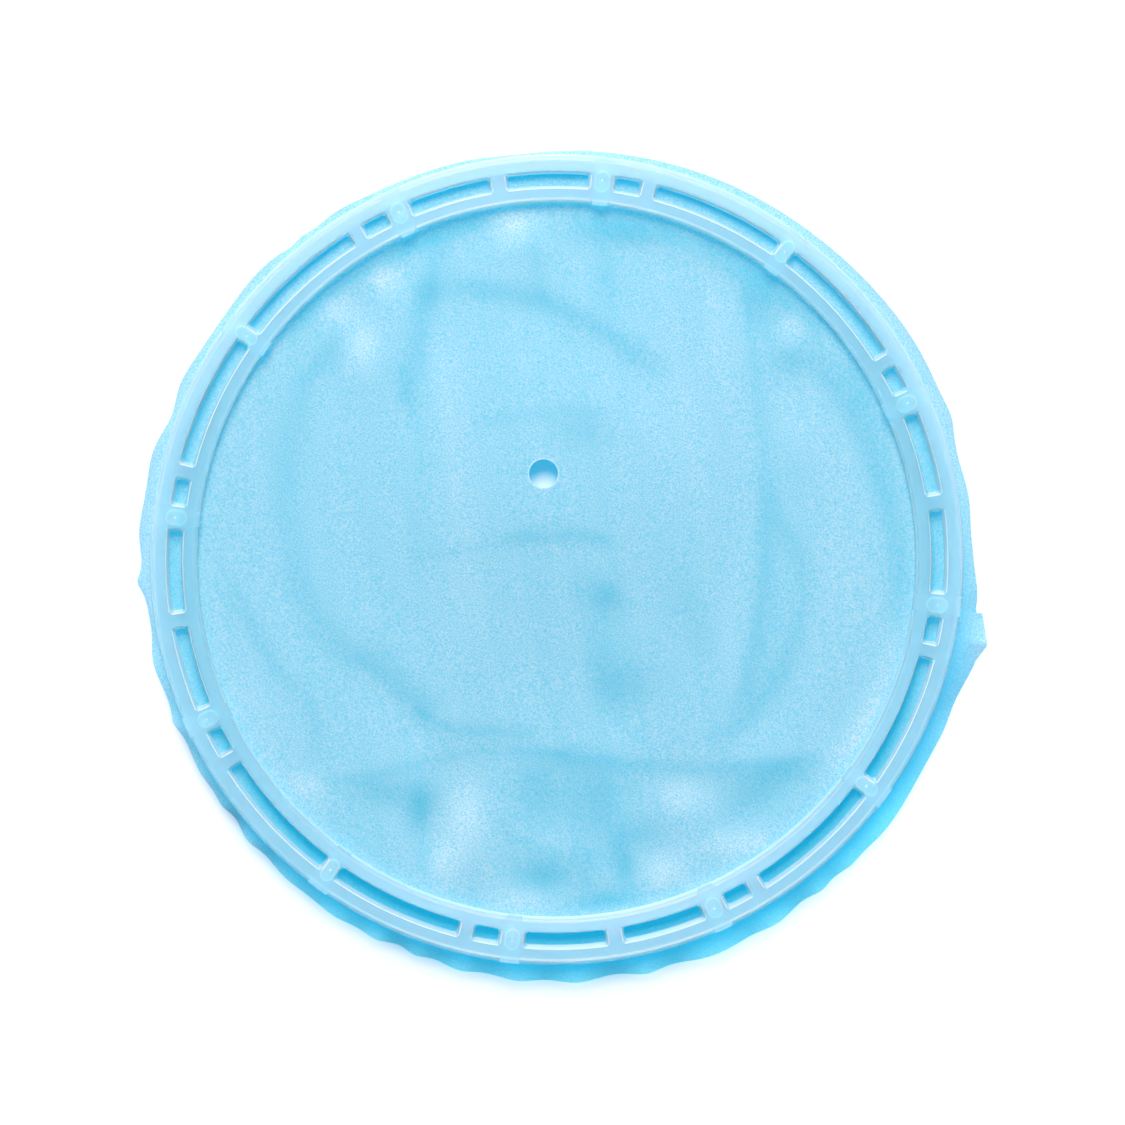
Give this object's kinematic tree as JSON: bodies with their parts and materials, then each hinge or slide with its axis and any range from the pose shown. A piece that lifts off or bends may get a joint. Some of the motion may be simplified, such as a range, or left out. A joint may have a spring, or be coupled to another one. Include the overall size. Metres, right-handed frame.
{
  "type": "framed dental dam",
  "caption": "Thin latex dental dam with a punched tooth hole, clamped flat between the two halves of a round slotted plastic ring.",
  "frame": {"origin": "centre of the ring, in the middle plane of the latex sheet", "axes": "+Z leaves the front face square to the sheet, +Y points from the centre to the punched tooth hole"},
  "size_m": [0.1129, 0.113, 0.0032],
  "materials": {
    "ring_plastic": "translucent, satin",
    "latex": "powdered, matt"
  },
  "bodies": {
    "root": {"front_ring": "ring_plastic", "back_ring": "ring_plastic", "dam_sheet": "latex"}
  },
  "joints": []
}
